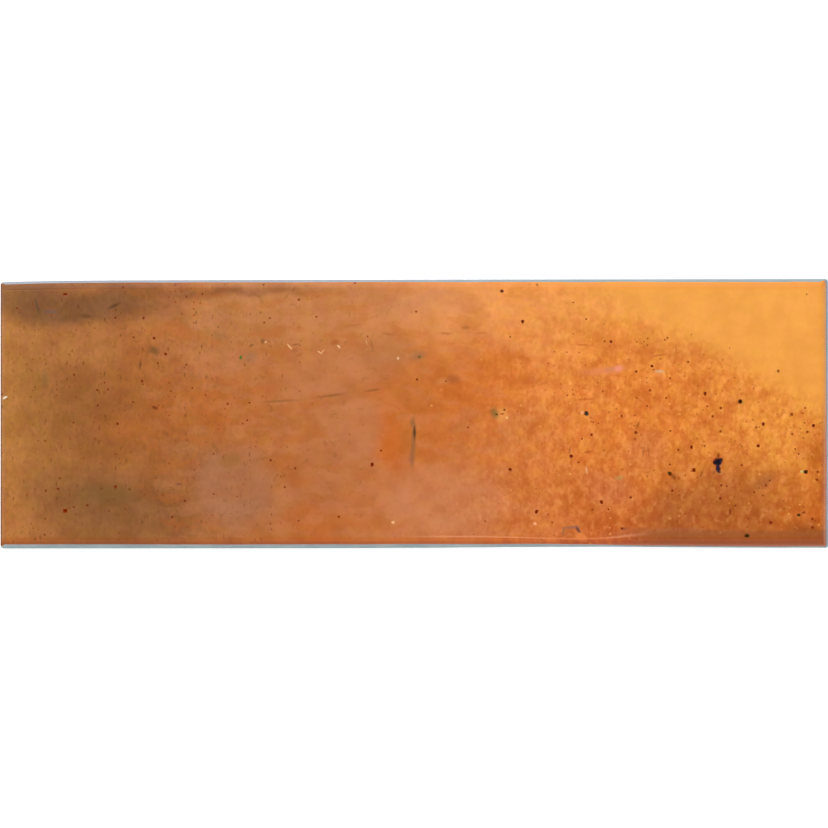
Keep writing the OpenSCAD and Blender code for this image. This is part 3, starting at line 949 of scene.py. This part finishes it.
def paint_specks(g, fine, textured, mottled, left):
    """Scattered spots, thick over the lower right, and short dark hairs over the left part."""
    crowd = g.times(g.step(g.x, *CROWDED_PART), g.step(g.y, 28, 10, 0.3, 1), textured, 0.26)
    crowd = g.math("MULTIPLY_ADD", left, 0.24, crowd)
    crowd = g.math("ADD", crowd, g.times(textured, 0.03))
    clusters = g.step(g.noise(g.plan, 4, detail=1), 0.38, 0.62, 0.1, 1.9)
    crowd = g.times(crowd, clusters)
    small = g.scatter(fine, 1.5, g.times(crowd, 0.5), 0.24)
    large = g.scatter(fine, 3.4, g.times(crowd, 0.35), 0.36)
    g.coat(g.times(small, 0.6), SMALL_SPOT)
    g.coat(g.times(large, 0.8), LARGE_SPOT)
    hairs = g.scatter(g.vmath("MULTIPLY", fine, (1, 0.4, 0)), 1.3, g.times(left, clusters, 0.16), 0.2)
    g.coat(g.times(hairs, 0.55), HAIR)
    pale = g.scatter(fine, 2.4, g.times(mottled, 0.12), 0.3)
    g.coat(g.times(pale, 0.45), PALE_SPOT)


def paint_marks(g, fine):
    """Named marks (a few of them painted highlights), spots and pits, and pinholes, which are darkest
    in the middle.
    """
    g.blotches(fine, MARKS)
    g.tint(g.nearest(fine, RUST_SPOTS), 1.3, 0.6, 0.85, RUST_SPOT)
    to_hole = g.nearest(fine, PINHOLES)
    g.tint(to_hole, 1.4, 0.8, 0.9, HOLE_RIM)
    g.tint(to_hole, 0.8, 0.3, 0.8, HOLE_MIDDLE)
    holes = g.step(to_hole, 1.2, 0.8)
    g.blotches(fine, PITS)
    return holes


def paint_sag_highlight(g, fine):
    """A painted highlight along the line where the glaze sagged, which is wider towards its right end.
    """
    line = SAG_START
    for x0, x1, rise in SAG_BENDS:
        line = g.math("ADD", line, g.step(g.x, x0, x1, 0, rise))
    away = g.math("ABSOLUTE", g.math("SUBTRACT", g.split(fine)[1], line))
    shown = g.times(g.step(g.x, -4, 10), g.step(g.x, 62, 50))
    width = g.step(g.x, 44, 54, 0.3, 0.6)
    # Painted highlight: a paler line along the sag
    g.coat(g.times(g.step(away, width, 0.05), shown, 0.55), SAG_HIGHLIGHT)


def paint_edge_light_and_shade(g):
    """Painted light and shade at the edges: a paler band inside the far edge, partly thin glaze and
    partly painted highlight, darker along the far edge at the left end, painted shade over the far,
    near and end roundings, and a painted shaded band by the near edge at the right.

    Gives the distances in from the left, right, near and far outline.
    """
    from_left = g.math("ADD", g.x, HALF_X)
    drop = g.times(g.math("EXPONENT", g.times(from_left, -1 / FAR_DROP_RUN)), FAR_DROP)
    from_far = g.math("SUBTRACT", g.math("SUBTRACT", HALF_Y, drop), g.y)
    from_near = g.math("ADD", HALF_Y, g.y)
    # Partly thin glaze, partly painted highlight: a paler band just inside the far edge
    pale = g.times(g.step(from_far, 3.2, 2.0), g.step(g.x, -25, 60, 0.0, 0.5))
    g.coat(pale, FAR_THIN_GLAZE_AND_HIGHLIGHT)
    g.tint(from_far, 2.6, 1.6, g.step(g.x, -40, -85, 0, 0.5), FAR_DARK)
    # Painted shade over the far rounding
    g.shade(from_far, 1.5, 2.5, 1.0, FAR_EDGE_SHADE, PLAIN)
    # Painted shade: a brown band along the near rim at the right
    rim_shade_mask = g.times(g.step(from_near, 4.8, 3.2), g.step(g.x, 48, 62, 0.0, 0.8))
    g.coat(rim_shade_mask, NEAR_RIM_SHADE)
    # Painted shade over the near rounding
    g.shade(from_near, 1.6, 3.0, 1.0, NEAR_EDGE_SHADE, PLAIN)
    # Painted shade: a dark red line on the near rounding
    g.tint(from_near, 1.9, 1.1, 0.3, NEAR_ROUNDING_SHADE)
    # Painted shade: a dark line along the left end
    g.tint(from_left, 1.1, 0.6, 0.8, LEFT_EDGE_SHADE)
    from_right = g.math("SUBTRACT", HALF_X, g.x)
    # Painted shade over the right rounding
    g.shade(from_right, 0.8, 2.2, 1.0, RIGHT_EDGE_SHADE, PLAIN)
    # Painted shade: browner at the very right edge
    g.tint(from_right, 0.8, 0.4, 0.35, RIGHT_RIM_SHADE)
    return from_left, from_right, from_near, from_far


def glaze_material():
    """Glossy all over the face, duller in the pinholes and on the rounded edge."""
    g = Graph("glaze")
    broad, patchy, fine = g.wobbled(*BROAD), g.wobbled(*PATCHY), g.wobbled(*FINE)
    clean, textured = paint_ground(g, broad, patchy)
    lumps = paint_clouds_and_reflections(g, patchy, clean)
    mottled, islands, flecks = paint_mottling(g, textured)
    left = paint_wisps(g, patchy, mottled)
    paint_specks(g, fine, textured, mottled, left)
    holes = paint_marks(g, fine)
    paint_sag_highlight(g, fine)
    from_left, from_right, from_near, from_far = paint_edge_light_and_shade(g)
    rough = g.math("MULTIPLY_ADD", lumps, 0.1, 0.06)
    rough = g.math("MAXIMUM", rough, g.times(holes, 0.7))
    to_side = g.math("MINIMUM", from_near, from_far)
    to_end = g.math("ADD", g.math("MINIMUM", from_left, from_right), LONG_RADIUS - END_RADIUS)
    to_edge = g.math("MINIMUM", to_side, to_end)
    rim = LEAN + LONG_RADIUS
    rough = g.math("MAXIMUM", rough, g.step(to_edge, rim + 0.1, rim - 0.4, 0, 0.65))
    bump = g.math("ADD", g.times(islands, 0.5), g.times(flecks, 0.2))
    return g.finish(rough, bump, 0.1, 0.0004, IOR=1.42)


# ---------- pinholes


def pit_material():
    """Burnt clay without any gloss, inside the pinholes."""
    g = Graph("pit")
    fine = g.wobbled(*FINE)
    g.colour = linear(*HOLE_RIM)
    g.tint(g.nearest(fine, PINHOLES), 0.8, 0.3, 0.8, HOLE_MIDDLE)
    g.blotches(fine, PITS)
    grain = g.noise(g.position, 0.3, detail=2)
    return g.finish(0.95, grain, 0.2, 0.0001, Specular_IOR_Level=0.0)


# ---------- bare clay

CLAY_DARK, CLAY_PALE = (150, 164, 168), (172, 182, 184)
# Painted cool shade on the far side (its left and right), on the near side and at the right end
FAR_SIDE_SHADE_LEFT, FAR_SIDE_SHADE_RIGHT = (160, 162, 178), (138, 160, 165)
NEAR_SIDE_SHADE, RIGHT_END_SHADE = (134, 174, 160), (120, 148, 172)
CLAY_GRAIN, CLAY_STAIN = (110, 122, 122), (160, 132, 100)


def biscuit_material():
    """Fired clay, bare at the sides and the back, with painted cool shade in a tint of its own on each
    side.
    """
    g = Graph("biscuit")
    lumps = g.noise(g.position, 6, detail=4)
    grain = g.noise(g.position, 0.35, detail=3, roughness=0.7)
    g.colour = g.mix(g.step(lumps, 0.35, 0.7), linear(*CLAY_DARK), linear(*CLAY_PALE))
    # Painted cool shade on each side: lilac to teal on the far side, teal on the near side, blue at
    # the right end
    far_shade_mask = g.step(g.y, HALF_Y - 1.5, HALF_Y - 0.9)
    far_side_painted_shade = g.mix(g.step(g.x, -30, 40), linear(*FAR_SIDE_SHADE_LEFT), linear(*FAR_SIDE_SHADE_RIGHT))
    g.colour = g.mix(g.times(far_shade_mask, 0.6), g.colour, far_side_painted_shade)
    near_shade_mask = g.step(g.y, 0.3 - HALF_Y, -HALF_Y)
    g.coat(g.times(near_shade_mask, 0.85), NEAR_SIDE_SHADE)
    end_shade_mask = g.step(g.x, HALF_X - 1.2, HALF_X - 0.4)
    g.coat(g.times(end_shade_mask, 0.6), RIGHT_END_SHADE)
    g.tint(grain, 0.55, 0.75, 0.3, CLAY_GRAIN)
    stain = g.noise(g.position, 3, detail=5, roughness=0.7)
    g.tint(stain, 0.6, 0.8, 0.4, CLAY_STAIN)
    return g.finish(0.85, grain, 0.5, 0.0003, IOR=1.45)


# ---------- the part

tile = build_tile()
for material in (glaze_material(), biscuit_material(), pit_material()):
    tile.data.materials.append(material)
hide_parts("wall_tile")
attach(tile, "root")

# ---------- floor and light

FLOOR_HALF = 1.3      # metres
FLOOR_GREY = 0.82
FLOOR_LIFT = 0.58     # light that only the picture and reflections see, so the floor is white
FLOOR_DROP = 0.00002  # metres below the tile's back, so the two never share a plane


def make_floor():
    h = FLOOR_HALF
    mesh = bpy.data.meshes.new("floor")
    mesh.from_pydata([(-h, -h, 0), (h, -h, 0), (h, h, 0), (-h, h, 0)], [], [(0, 1, 2, 3)])
    floor = placed("floor", mesh)
    floor.location.z = -FLOOR_DROP
    g = Graph("floor")
    diffuse = g.add("BsdfDiffuse", (FLOOR_GREY,) * 3 + (1,))
    ray = g.add("LightPath")
    seen = g.math("MAXIMUM", ray.outputs["Is Camera Ray"], ray.outputs["Is Glossy Ray"])
    seen = g.math("MAXIMUM", seen, ray.outputs["Is Transmission Ray"])
    lift = g.add("Emission")
    g.put(lift.inputs["Strength"], g.times(seen, FLOOR_LIFT))
    both = g.add("AddShader", diffuse.outputs[0], lift.outputs[0])
    g.add("OutputMaterial", both.outputs[0])
    floor.data.materials.append(g.material)


WORLD_LOW, WORLD_HIGH = 1.0, 0.06     # strength at the horizon, which is white, and overhead
WORLD_FADE = (0.25, 0.9)              # where the strength falls, as the direction's height


def make_world():
    world = bpy.data.worlds.new("studio")
    bpy.context.scene.world = world
    world.use_nodes = True
    g = Nodes(world.node_tree)
    height = g.split(g.add("TexCoord").outputs["Generated"])[2]
    strength = g.add("MapRange", height, *WORLD_FADE, WORLD_LOW, WORLD_HIGH,
                     interpolation_type="SMOOTHSTEP")
    background = g.add("Background", (1, 1, 1, 1), strength.outputs[0])
    g.add("OutputWorld", background.outputs[0])


# Lamps: name, place and size in metres, and how bright the panel is
LAMPS = (("key", (-0.35, 0.95, 1.05), 2.2, 1.6, 1.9),
         ("fill", (0.35, -0.85, 0.95), 1.0, 0.8, 1.95))


def softbox(name, position, size_x, size_y, radiance):
    light = bpy.data.lights.new(name, "AREA")
    light.shape = "RECTANGLE"
    light.size, light.size_y = size_x, size_y
    light.energy = radiance * math.pi * size_x * size_y
    lamp = placed(name, light)
    lamp.location = position
    lamp.rotation_euler = (-Vector(position)).to_track_quat("-Z", "Y").to_euler()


make_floor()
make_world()
for lamp in LAMPS:
    softbox(*lamp)

# ---------- camera

VIEW_WIDTH = 199.54   # width of the picture, at the tile
LENS = 1000.0         # long, because the photo's edges don't converge
SENSOR = 36.0
CLIP = (0.5, 20.0)    # metres
AIM = (0.34, -0.12, TOP * 0.6)
SIDE_TILT = math.radians(4.0)    # from straight above, towards the right end
NEAR_TILT = math.radians(1.0)    # and towards the near side

distance = VIEW_WIDTH * MM * LENS / SENSOR
camera_data = bpy.data.cameras.new("camera")
camera_data.lens = LENS
camera_data.sensor_width = SENSOR
camera_data.clip_start, camera_data.clip_end = CLIP
camera = placed("camera", camera_data)
back = Vector((math.sin(SIDE_TILT), -math.sin(NEAR_TILT), 1.0)).normalized()
across = Vector((0, 1, 0)).cross(back).normalized()
camera.matrix_world = Matrix.Translation(Vector(AIM) * MM + back * distance) \
    @ Matrix((across, back.cross(across), back)).transposed().to_4x4()
bpy.context.scene.camera = camera
bpy.context.scene.view_settings.view_transform = "Standard"
